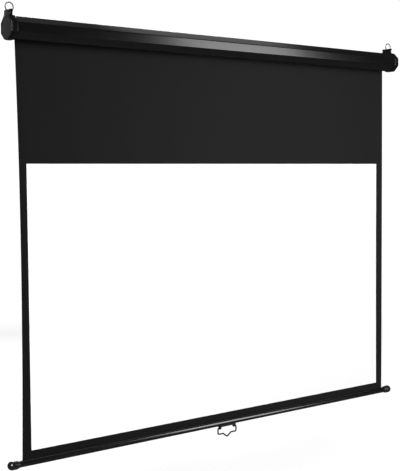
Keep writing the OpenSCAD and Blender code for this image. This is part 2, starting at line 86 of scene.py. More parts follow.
def polar(angle: Array, radius: Array | float = 1.0, centre: tuple[float, float] = (0.0, 0.0)) -> Array:
    """Points at r (cos a, sin a) from a centre."""
    return centre + np.asarray(radius)[..., None] * np.stack([np.cos(angle), np.sin(angle)], -1)


@dataclass
class Outline:
    """A flat line of points with unit normals.

    Args:
        points: the places, one row each
        normals: the unit normal at each point
        bend: 1 in the middle of a round corner and 0 on the straights
    """

    points: Array
    normals: Array
    bend: Array

    @classmethod
    def rounded(cls, corners: Array, radius: Array | float, steps: int, closed: bool = False) -> "Outline":
        """Rounds the corners of a path with arcs.

        Between unit directions a and b the signed turn is t. The arc leaves the straight r tan(|t| / 2)
        before the corner, and its point at share s is the start turned by s t about the arc's centre.

        Args:
            corners: the sharp corners, one row each
            radius: one radius, or one for each rounded corner
            steps: pieces of each arc
            closed: whether the last corner joins the first

        Returns:
            The rounded outline, with normals on its left.
        """
        corners = np.asarray(corners, float)
        ahead = unit(np.roll(corners, -1, 0) - corners)
        behind = np.roll(ahead, 1, 0)
        inner = slice(None) if closed else slice(1, -1)
        at, a, b = corners[inner], behind[inner], ahead[inner]
        turn = np.arctan2(a[:, 0] * b[:, 1] - a[:, 1] * b[:, 0], (a * b).sum(1))
        radius = np.broadcast_to(np.asarray(radius, float), len(at))
        reach = (np.sign(turn) * radius)[:, None]
        centre = at - a * (radius * np.tan(abs(turn) / 2))[:, None] + left_of(a) * reach
        share = np.linspace(0, 1, steps + 1)
        angle = turn[:, None] * share
        normal = left_of(a)[:, None] * np.cos(angle)[..., None]
        normal = normal + left_of(left_of(a))[:, None] * np.sin(angle)[..., None]
        points = (centre[:, None] - normal * reach[:, None]).reshape(-1, 2)
        normal = normal.reshape(-1, 2)
        bend = np.tile(np.sin(np.pi * share), len(at))
        if closed:
            return cls(points, normal, bend)
        ends = left_of(ahead[[0, -2]])
        return cls(
            np.vstack([corners[:1], points, corners[-1:]]),
            np.vstack([ends[:1], normal, ends[1:]]),
            np.concatenate([[0], bend, [0]]),
        )

    @classmethod
    def traced(cls, points: Array, closed: bool = False) -> "Outline":
        """Takes normals on the left from the difference of each point's neighbours."""
        if closed:
            along = np.roll(points, -1, 0) - np.roll(points, 1, 0)
        else:
            along = np.gradient(points, axis=0)
        return cls(points, left_of(unit(along)), np.zeros(len(points)))

    def thick(self, wall: float) -> "Outline":
        """Closes an open path into a strip: out along the left side and back along the right."""
        half = self.normals * wall / 2
        return Outline(
            np.vstack([self.points + half, (self.points - half)[::-1]]),
            np.vstack([self.normals, -self.normals[::-1]]),
            np.concatenate([self.bend, self.bend[::-1]]),
        )

    def grown(self, distance: float) -> Array:
        """The points moved along their normals."""
        return self.points + self.normals * distance

    def length(self) -> float:
        """Length of the line from point to point."""
        return float(np.linalg.norm(np.diff(self.points, axis=0), axis=1).sum())


def octagon(flats: float, radius: float, steps: int) -> Outline:
    """An octagon on its flats with round corners, its normals pointing out.

    Args:
        flats: width across the flats
        radius: radius of the corners
        steps: pieces of each corner

    Returns:
        The outline, clockwise so that its left is outside.
    """
    angle = np.radians(22.5 - 45 * np.arange(8))
    return Outline.rounded(polar(angle, flats / 2 / math.cos(math.pi / 8)), radius, steps, closed=True)


@dataclass
class Surface:
    """A closed mesh as arrays.

    Args:
        points: its vertices
        quads: its four-sided faces
        uv: two metres-long coordinates for each corner of each quad
        caps: flat faces that close its ends
        wear: how exposed each vertex is, from 0 to 1
    """

    points: Array
    quads: Array
    uv: Array
    caps: list[Array]
    wear: Array

    @classmethod
    def lattice(cls, rows: Array, loop: bool = False, wear: Array | float = 0.0) -> "Surface":
        """Joins neighbouring points of a lattice of closed rows into faces and turns them outwards.

        Each face joins (v, m), (v + 1, m), (v + 1, m + 1) and (v, m + 1), counted round where the
        lattice wraps. The mesh coordinates are the mean lengths run along each way.

        Args:
            rows: points as an array of rows by columns by three
            loop: whether the last row joins the first; if not, flat caps close the two ends
            wear: the exposure of each column or each point

        Returns:
            The closed surface.
        """
        v_count, m_count = rows.shape[:2]
        cells = np.stack(np.meshgrid(np.arange(v_count - (not loop)), np.arange(m_count), indexing="ij"), -1)
        corners = (cells[:, :, None] + np.array([[0, 0], [1, 0], [1, 1], [0, 1]])).reshape(-1, 4, 2)
        quads = corners[..., 0] % v_count * m_count + corners[..., 1] % m_count
        down = np.linalg.norm(np.roll(rows, -1, 0) - rows, axis=2).mean(1)
        across = np.linalg.norm(np.roll(rows, -1, 1) - rows, axis=2).mean(0)
        run_v, run_m = (np.concatenate([[0], np.cumsum(lengths)]) for lengths in (down, across))
        uv = np.stack([run_m[corners[..., 1]], run_v[corners[..., 0]]], -1)
        caps = [] if loop else [np.arange(m_count)[::-1], (v_count - 1) * m_count + np.arange(m_count)]
        made = cls(rows.reshape(-1, 3), quads, uv, caps, np.broadcast_to(wear, (v_count, m_count)).ravel())
        return made if made.volume() > 0 else made.turned()

    def volume(self) -> float:
        """Signed volume, the sum of a . (b x c) / 6 over triangles; caps count from their first point."""
        q = self.points[self.quads]
        fans = [q[:, [0, 1, 2]], q[:, [0, 2, 3]]]
        for cap in self.caps:
            c = self.points[cap]
            fans.append(np.stack([np.broadcast_to(c[0], c[1:-1].shape), c[1:-1], c[2:]], 1))
        t = np.concatenate(fans)
        return float((t[:, 0] * np.cross(t[:, 1], t[:, 2])).sum() / 6)

    def turned(self) -> "Surface":
        """The same surface with every face turned over."""
        return replace(self, quads=self.quads[:, ::-1], uv=self.uv[:, ::-1], caps=[c[::-1] for c in self.caps])

    def mirrored(self) -> "Surface":
        """The twin on the other side of the middle plane, its faces still outwards."""
        return replace(self, points=self.points * [-1, 1, 1]).turned()

    def moved(self, x: float = 0.0, y: float = 0.0, z: float = 0.0) -> "Surface":
        """The surface moved by a vector."""
        return replace(self, points=self.points + [x, y, z])

    def joined(self, *others: "Surface") -> "Surface":
        """Several closed surfaces as one."""
        every = [self, *others]
        starts = np.cumsum([0] + [len(s.points) for s in every])
        return Surface(
            np.vstack([s.points for s in every]),
            np.vstack([s.quads + start for s, start in zip(every, starts)]),
            np.concatenate([s.uv for s in every]),
            [cap + start for s, start in zip(every, starts) for cap in s.caps],
            np.concatenate([s.wear for s in every]),
        )

    def to_object(self, name: str) -> bpy.types.Object:
        """Puts the arrays into a Blender mesh, whose folds past the sharp angle stay sharp.

        Args:
            name: name of the object

        Returns:
            The new object, linked to the scene, at the origin.
        """
        mesh = bpy.data.meshes.new(name)
        mesh.from_pydata(self.points.tolist(), [], self.quads.tolist() + [cap.tolist() for cap in self.caps])
        flat = [self.points[cap][:, [0, 2]] for cap in self.caps]
        uv = np.vstack([self.uv.reshape(-1, 2), *flat])
        mesh.uv_layers.new(name="metres").data.foreach_set("uv", uv.astype(np.float32).ravel())
        mesh.attributes.new("wear", "FLOAT", "POINT").data.foreach_set("value", self.wear.astype(np.float32))
        mesh.shade_smooth()
        mesh.set_sharp_from_angle(angle=SHARP)
        made = bpy.data.objects.new(name, mesh)
        bpy.context.scene.collection.objects.link(made)
        return made


def stacked(outlines: list[Array] | Array, stations: Array) -> Array:
    """Rows of points: each flat outline (Y, Z) at its own X."""
    flat = np.stack(outlines)
    x = np.broadcast_to(np.asarray(stations, float)[:, None], flat.shape[:2])
    return np.concatenate([x[..., None], flat], -1)


def box_rings(low: Array, high: Array, radius: float) -> Array:
    """Flat boxes with round corners, one for each row of low and high.

    A corner's centre stands the radius inside the box, and its arc adds r (cos a, sin a).

    Args:
        low: lowest corners, one row each
        high: highest corners
        radius: radius of the corners

    Returns:
        The rings, as rows by points by two.
    """
    a = np.radians(90 * (np.arange(4)[:, None] + np.linspace(0, 1, 6)))
    centre = np.where(polar(a.mean(1)) > 0, high[:, None] - radius, low[:, None] + radius)
    return (centre[:, :, None] + radius * polar(a)).reshape(len(low), -1, 2)


def edge_rounding(x0: float, x1: float, radius: float) -> tuple[Array, Array]:
    """Stations and insets of a bar from x0 to x1 with round rims.

    On a rim the inset is r (1 - sin a) where the station is r (1 - cos a) in from the end.

    Args:
        x0: one end
        x1: the other end
        radius: radius of the rims

    Returns:
        The stations and the inset at each.
    """
    a = np.linspace(0, np.pi / 2, 5)
    along, inset = radius * (1 - np.cos(a)), radius * (1 - np.sin(a))
    return np.concatenate([x0 + along, (x1 - along)[::-1]]), np.concatenate([inset, inset[::-1]])


def bar_along_x(outline: Outline, x0: float, x1: float, radius: float = 0.0) -> Surface:
    """A closed outline carried along X, with round rims if a radius is given."""
    if radius == 0:
        return Surface.lattice(stacked([outline.points] * 2, np.array([x0, x1])), wear=outline.bend)
    x, inset = edge_rounding(x0, x1, radius)
    rim = np.where(inset > 0, np.sin(np.pi * inset / radius), 0)[:, None]
    return Surface.lattice(stacked([outline.grown(-d) for d in inset], x), wear=np.maximum(rim, outline.bend))


def holed_plate(outline: Outline, hole: Array, x0: float, x1: float, radius: float) -> Surface:
    """A plate with one hole: rows run over the round outer rim, in across the face and back through the hole.

    Args:
        outline: its outer edge, its normals pointing out
        hole: as many points on the hole's edge, each inward of its partner
        x0: one face
        x1: the other face
        radius: radius of the outer rims

    Returns:
        The closed surface.
    """
    x, inset = edge_rounding(x0, x1, radius)
    rings = [outline.grown(-d) for d in inset] + [hole, hole]
    return Surface.lattice(stacked(rings, np.concatenate([x, [x1, x0]])), loop=True)


def lathe(profile: Array, centre: tuple[float, float, float]) -> Surface:
    """Turns a profile of (x, r) rows about a line along X: each point goes round as (x, r cos a, r sin a)."""
    rings = profile[:, 1, None, None] * polar(turns_of(ROUND_SIDES))
    return Surface.lattice(stacked(rings, profile[:, 0]) + np.asarray(centre))


def wire(path: Outline, radius: float, depth: float) -> Surface:
    """A round wire along a path in a plane of X and Z.

    Round a point p with normal n the ring is p + r (n cos a + y sin a). At each end the ring shrinks
    as the cosine of a quarter turn while it moves out as the sine, which closes the wire with a dome.

    Args:
        path: the wire's centre line, as (X, Z) rows
        radius: radius of the wire
        depth: Y of the plane

    Returns:
        The closed surface.
    """
    dome = np.radians([84, 65, 45, 22])
    points, normals = path.points, path.normals
    out = unit(np.array([points[0] - points[1], points[-1] - points[-2]]))
    first, last = (radius * np.sin(dome)[:, None] * o for o in out)
    size = radius * np.concatenate([np.cos(dome), np.ones(len(points)), np.cos(dome)[::-1]])[:, None]
    points = np.vstack([points[0] + first, points, (points[-1] + last)[::-1]])
    normals = np.pad(normals, ((len(dome), len(dome)), (0, 0)), "edge")
    a = turns_of(WIRE_SIDES)
    flat = points[:, None] + (size * np.cos(a))[..., None] * normals[:, None]
    return Surface.lattice(np.stack([flat[..., 0], depth + size * np.sin(a), flat[..., 1]], -1))


# Finishes


class Pattern(Enum):
    """What covers a finish: its node group and the coordinates that it follows."""

    GRAIN = "fine_grain"
    BRUSH = "brush_lines"
    WEAVE = "coated_weave"


@dataclass
class Tree:
    """Short calls for building a node tree.

    Args:
        tree: the tree that gets the nodes
    """

    tree: bpy.types.NodeTree

    @classmethod
    def of(cls, owner: bpy.types.Material | bpy.types.World) -> "Tree":
        """The emptied node tree of a material or a world."""
        owner.use_nodes = True
        owner.node_tree.nodes.clear()
        return cls(owner.node_tree)

    def add(self, kind: str, inputs: dict | None = None, **values) -> bpy.types.Node:
        """Adds a node.

        Args:
            kind: its type, without the ShaderNode prefix
            inputs: for each input name or number, a socket to link or a value
            values: properties of the node

        Returns:
            The node.
        """
        made = self.tree.nodes.new(kind if kind.startswith("Node") else "ShaderNode" + kind)
        for key, value in values.items():
            setattr(made, key, value)
        for key, value in (inputs or {}).items():
            if isinstance(value, bpy.types.NodeSocket):
                self.tree.links.new(value, made.inputs[key])
            else:
                made.inputs[key].default_value = value
        return made

    def math(self, operation: str, a: object, b: object = 0.0, clamp: bool = False) -> bpy.types.NodeSocket:
        """One sum of two values or sockets, such as ADD or MULTIPLY."""
        return self.add("Math", {0: a, 1: b}, operation=operation, use_clamp=clamp).outputs[0]

    def noise(self, vector: bpy.types.NodeSocket, scale: object, detail: float) -> bpy.types.NodeSocket:
        """Noise from 0 to 1."""
        return self.add("TexNoise", {"Vector": vector, "Scale": scale, "Detail": detail}).outputs[0]

    def blend(self, share: object, a: object, b: object) -> bpy.types.NodeSocket:
        """Colour a turning into colour b as share goes from 0 to 1."""
        return self.add("Mix", {0: share, 6: a, 7: b}, data_type="RGBA").outputs[2]

    def spread(self, value: bpy.types.NodeSocket, low: float, high: float) -> bpy.types.NodeSocket:
        """Maps 0 to 1 onto low to high."""
        return self.add("MapRange", {0: value, 3: low, 4: high}).outputs[0]

    def use(self, group: str, **inputs) -> bpy.types.Node:
        """Places a shared group with its inputs."""
        return self.add("Group", inputs, node_tree=bpy.data.node_groups[group])

    def give(self, **results: bpy.types.NodeSocket) -> None:
        """Links a group's results to its outputs."""
        self.add("NodeGroupOutput", results)


def new_group(name: str, gives: tuple[str, ...], **takes: str) -> tuple[Tree, list[bpy.types.NodeSocket]]:
    """Starts a shader node group.

    Args:
        name: its name
        gives: its outputs, all values
        takes: its inputs and their kinds, Float or Vector

    Returns:
        The tree and its inputs in their order.
    """
    group = bpy.data.node_groups.new(name, "ShaderNodeTree")
    for key, kind in takes.items():
        group.interface.new_socket(key, in_out="INPUT", socket_type="NodeSocket" + kind)
    for key in gives:
        group.interface.new_socket(key, in_out="OUTPUT", socket_type="NodeSocketFloat")
    tree = Tree(group)
    source = tree.add("NodeGroupInput")
    return tree, [source.outputs[key] for key in takes]


def new_pattern(pattern: Pattern) -> tuple[Tree, list[bpy.types.NodeSocket]]:
    """Starts a pattern's group, which takes coordinates and a pitch."""
    return new_group(pattern.value, ("Height", "Tone"), Vector="Vector", Pitch="Float")


def grain_group() -> None:
    """Fine grain of powder coat and moulded plastic: two noises for the height and a broad one for the tone."""
    tree, (place, pitch) = new_pattern(Pattern.GRAIN)
    scale = tree.math("DIVIDE", 1.0, pitch)
    fine = tree.noise(place, scale, 1.5)
    coarse = tree.noise(place, tree.math("MULTIPLY", scale, 0.3), 1.0)
    height = tree.math("ADD", tree.math("MULTIPLY", fine, 0.6), tree.math("MULTIPLY", coarse, 0.4))
    tree.give(Height=height, Tone=tree.noise(place, 6.0, 5.0))


def brush_group() -> None:
    """Lines along X of drawn and brushed metal: noise on coordinates that are squeezed along X."""
    tree, (place, pitch) = new_pattern(Pattern.BRUSH)
    squeezed = tree.add("VectorMath", {0: place, 1: (0.02, 1, 1)}, operation="MULTIPLY").outputs[0]
    lines = tree.noise(squeezed, tree.math("DIVIDE", 1.0, pitch), 3.0)
    tree.give(Height=lines, Tone=tree.noise(place, 25.0, 4.0))


def weave_group() -> None:
    """Plain weave under a coating.

    With u and v in pitches, a yarn's crown is |sin(pi u)| or |sin(pi v)|, and the whole parts of u and v
    say which of the two lies on top. The tone joins a random value for each yarn with a broad noise.
    """
    tree, (place, pitch) = new_pattern(Pattern.WEAVE)
    parts = tree.add("SeparateXYZ", {0: place})
    across = [tree.math("DIVIDE", parts.outputs[k], pitch) for k in (0, 1)]
    crowns = [tree.math("ABSOLUTE", tree.math("SINE", tree.math("MULTIPLY", w, math.pi))) for w in across]
    cells = [tree.math("FLOOR", w) for w in across]
    over = tree.math("FLOORED_MODULO", tree.math("ADD", *cells), 2.0)
    under = tree.math("SUBTRACT", 1.0, over)
    height = tree.math("ADD", tree.math("MULTIPLY", over, crowns[0]), tree.math("MULTIPLY", under, crowns[1]))
    yarns = [tree.add("TexWhiteNoise", {"W": cell}, noise_dimensions="1D").outputs[0] for cell in cells]
    yarn = tree.math("MULTIPLY", tree.math("ADD", *yarns), 0.2)
    broad = tree.math("MULTIPLY", tree.noise(place, 3.0, 4.0), 0.6)
    tree.give(Height=height, Tone=tree.math("ADD", yarn, broad))


def wear_group() -> None:
    """Edges rubbed bright: the exposed places, broken up by noise and cut by the amount."""
    tree, (place, exposed, amount) = new_group("rubbed_edges", ("Mask",), Vector="Vector", Exposed="Float",
                                               Amount="Float")
    broken = tree.math("MULTIPLY", exposed, tree.noise(place, 220.0, 6.0))
    start = tree.math("SUBTRACT", 0.72, tree.math("MULTIPLY", amount, 0.3))
    tree.give(Mask=tree.math("MULTIPLY", tree.math("SUBTRACT", broken, start), 6.0, clamp=True))


def dust_group() -> None:
    """Settled dust: grows where the surface looks up, with noise, times the amount."""
    tree, (place, up, amount) = new_group("settled_dust", ("Mask",), Vector="Vector", Up="Float", Amount="Float")
    facing = tree.math("MULTIPLY", up, tree.math("ADD", up, 0.2), clamp=True)
    patchy = tree.spread(tree.noise(place, 40.0, 5.0), 0.3, 1.0)
    tree.give(Mask=tree.math("MULTIPLY", tree.math("MULTIPLY", facing, patchy), amount, clamp=True))


Colour = tuple[float, float, float]
DUST: Colour = (0.33, 0.31, 0.28)


@dataclass(frozen=True)
class Finish:
    """How one material looks.

    Args:
        colour: its base colour
        second: the colour that its tone drifts to
        roughness: middle of its roughness
        pattern: what covers it
        pitch: size of the pattern in metres
        relief: depth of the pattern in metres
        rough_range: how far the roughness drifts each way
        metallic: 1 for bare metal
        specular: level of its plain reflection
        coat: weight of a clear coat
        sheen: weight of a soft sheen
        rubbed: colour of rubbed edges
        wear: amount of rubbed edges
        dust: amount of settled dust
    """

    colour: Colour
    second: Colour
    roughness: float
    pattern: Pattern = Pattern.GRAIN
    pitch: float = 0.8 * MM
    relief: float = 0.004 * MM
    rough_range: float = 0.04
    metallic: float = 0.0
    specular: float = 0.5
    coat: float = 0.0
    sheen: float = 0.0
    rubbed: Colour = (0.05, 0.05, 0.05)
    wear: float = 0.0
    dust: float = 0.05

    def material(self, name: str) -> bpy.types.Material:
        """Builds the material from the shared groups.

        Args:
            name: the record's slot that it fills

        Returns:
            The material.
        """
        made = bpy.data.materials.new(name)
        tree = Tree.of(made)
        place = tree.add("TexCoord").outputs["Object"]
        along = tree.add("UVMap", uv_map="metres").outputs[0] if self.pattern is Pattern.WEAVE else place
        up = tree.add("SeparateXYZ", {0: tree.add("NewGeometry").outputs["Normal"]}).outputs[2]
        cover = tree.use(self.pattern.value, Vector=along, Pitch=self.pitch)
        dust = tree.use("settled_dust", Vector=place, Up=up, Amount=self.dust).outputs[0]
        colour = tree.blend(cover.outputs["Tone"], (*self.colour, 1), (*self.second, 1))
        if self.wear:
            exposed = tree.add("Attribute", attribute_name="wear").outputs["Fac"]
            edges = tree.use("rubbed_edges", Vector=place, Exposed=exposed, Amount=self.wear).outputs[0]
            colour = tree.blend(edges, colour, (*self.rubbed, 1))
        colour = tree.blend(dust, colour, (*DUST, 1))
        rough = tree.spread(cover.outputs["Tone"], self.roughness - self.rough_range, self.roughness + self.rough_range)
        rough = tree.math("ADD", rough, tree.math("MULTIPLY", dust, 0.5), clamp=True)
        bump = tree.add("Bump", {"Height": cover.outputs["Height"], "Distance": self.relief, "Strength": 1.0})
        shader = tree.add("BsdfPrincipled", {
            "Base Color": colour, "Roughness": rough, "Normal": bump.outputs[0], "Metallic": self.metallic,
            "Specular IOR Level": self.specular, "Coat Weight": self.coat, "Coat Roughness": 0.08,
            "Sheen Weight": self.sheen, "Sheen Roughness": 0.6,
        })
        tree.add("OutputMaterial", {"Surface": shader.outputs[0]})
        return made


def grey(level: float, blue: float | None = None) -> Colour:
    """A plain grey, or one with its own blue."""
    return level, level, level if blue is None else blue


def steel(level: float, roughness: float) -> Finish:
    """Bare steel with fine lines along X."""
    return Finish(grey(level, level * 1.02), grey(level * 0.8, level * 0.81), roughness, Pattern.BRUSH, 0.35 * MM,
                  rough_range=0.06, metallic=1.0, dust=0.02)


FINISHES: dict[str, Finish] = {
    "black_case_paint": Finish(grey(0.0026, 0.0028), grey(0.0038, 0.0041), 0.16, pitch=0.9 * MM, relief=0.0016 * MM,
                               rough_range=0.02, specular=0.33, rubbed=grey(0.05, 0.052), wear=0.35, dust=0.015),
    "black_cap_plastic": Finish(grey(0.0016, 0.0017), grey(0.0026, 0.0028), 0.27, pitch=0.5 * MM, relief=0.006 * MM,
                                specular=0.3, wear=0.9, dust=0.006),
    "screw_steel": steel(0.32, 0.35),
    "bracket_steel": steel(0.5, 0.38),
    "arbor_steel": steel(0.52, 0.25),
    "ratchet_brass": Finish((0.72, 0.52, 0.22), (0.55, 0.38, 0.15), 0.42, pitch=0.25 * MM, relief=0.01 * MM,
                            metallic=1.0, dust=0.02),
    "spring_steel": Finish(grey(0.23, 0.24), (0.12, 0.11, 0.11), 0.33, pitch=0.4 * MM, metallic=1.0, coat=0.4,
                           dust=0.0),
    "inner_plastic": Finish(grey(0.035, 0.038), grey(0.05, 0.053), 0.5, pitch=0.4 * MM, relief=0.012 * MM),
    "tube_steel": Finish((0.55, 0.56, 0.57), (0.38, 0.39, 0.40), 0.4, pitch=5 * MM, rough_range=0.1, metallic=1.0),
    "tape": Finish((0.62, 0.57, 0.41), (0.54, 0.48, 0.33), 0.6, pitch=0.3 * MM, relief=0.01 * MM),
    "black_sheet": Finish(grey(0.0022, 0.0024), grey(0.0034, 0.0036), 0.5, Pattern.WEAVE, 0.55 * MM, 0.02 * MM, 0.05,
                          specular=0.08, sheen=0.04, dust=0.0),
    "white_coat": Finish(grey(0.925), grey(0.95, 0.946), 0.85, Pattern.WEAVE, 0.45 * MM, 0.012 * MM, specular=0.2,
                         dust=0.0),
    "pawl_steel": steel(0.6, 0.3),
    "bush_nylon": Finish((0.80, 0.79, 0.74), (0.74, 0.72, 0.66), 0.45, pitch=0.5 * MM, relief=0.006 * MM),
    "black_bar_paint": Finish(grey(0.003, 0.0032), grey(0.0044, 0.0046), 0.15, pitch=1.2 * MM, relief=0.0014 * MM,
                              rough_range=0.02, specular=0.55, rubbed=grey(0.09), wear=0.4, dust=0.015),
    "rod_steel": steel(0.5, 0.25),
    "black_plug_plastic": Finish(grey(0.004, 0.0043), grey(0.006, 0.0064), 0.24, pitch=0.9 * MM, relief=0.003 * MM,
                                 rough_range=0.03, specular=0.8),
    "handle_base_plastic": Finish(grey(0.005, 0.0053), grey(0.008, 0.0084), 0.4, pitch=0.4 * MM, relief=0.01 * MM,
                                  specular=0.3, rubbed=grey(0.04), wear=0.3, dust=0.02),
    "handle_wire": Finish(grey(0.004, 0.0043), grey(0.006, 0.0064), 0.35, pitch=0.7 * MM, relief=0.006 * MM,
                          specular=0.18, rubbed=grey(0.03), wear=0.4, dust=0.02),
    "ring_chrome": Finish(grey(0.1, 0.104), grey(0.07, 0.073), 0.3, pitch=0.6 * MM, relief=0.001 * MM, metallic=1.0,
                          dust=0.0),
}

CAD_FINISHES: dict[str, tuple[str, ...]] = {
    "screw_steel": ("end_cap_screws", "bracket_screws", "handle_screws"),
    "bracket_steel": ("left_bracket", "right_bracket"),
    "arbor_steel": ("spade_arbor", "idler_pin", "pawl_pins"),
    "ratchet_brass": ("ratchet_hub",),
    "spring_steel": ("torsion_spring",),
    "inner_plastic": ("spring_collar", "ratchet_head", "idler_plug"),
    "tube_steel": ("roller_tube",),
    "tape": ("fabric_tape",),
    "pawl_steel": ("upper_pawl", "lower_pawl"),
    "bush_nylon": ("idler_bush",),
    "rod_steel": ("hem_rod",),
}


class Body(Enum):
    """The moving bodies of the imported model."""

    HOUSING = "housing"
    ROLLER = "roller"
    BAR = "bar"
    HANDLE = "handle"
    LEFT_RING = "ring_l"
    RIGHT_RING = "ring_r"


class Side(Enum):
    """The two ends of the screen."""

    LEFT = "left"
    RIGHT = "right"

    def of(self, right: Surface) -> Surface:
        """A right-hand surface, or its twin on the left."""
        return right if self is Side.RIGHT else right.mirrored()


def corners(node: str) -> tuple[Array, Array]:
    """Lowest and highest corner of a CAD node at rest."""
    low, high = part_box(node)
    return np.array(low), np.array(high)


def cuts(x: float, width: float, *rows: tuple[float, float, float]) -> Array:
    """Rings of a moulding as (X, width, corner radius): rows of millimetres added to a station and a width."""
    return np.array(rows) * MM + [x, width, 0]


@dataclass
class Assembly:
    """What every sub-assembly shares: its materials and the way a piece is put in place."""

    materials: dict[str, bpy.types.Material]

    def put(self, name: str, surface: Surface, slot: str, body: Body, *nodes: str) -> bpy.types.Object:
        """Makes a piece, dresses it and lets it ride.

        Args:
            name: the piece's name
            surface: its shape
            slot: the record's material slot
            body: the body that carries it
            nodes: the CAD nodes that it stands for

        Returns:
            The piece.
        """
        piece = surface.to_object(name)
        piece.data.materials.append(self.materials[slot])
        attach(piece, body.value)
        if nodes:
            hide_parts(*nodes)
        LOG.info("%s: %d points on %s, for %s", name, len(surface.points), body.value, ", ".join(nodes) or "detail")
        return piece


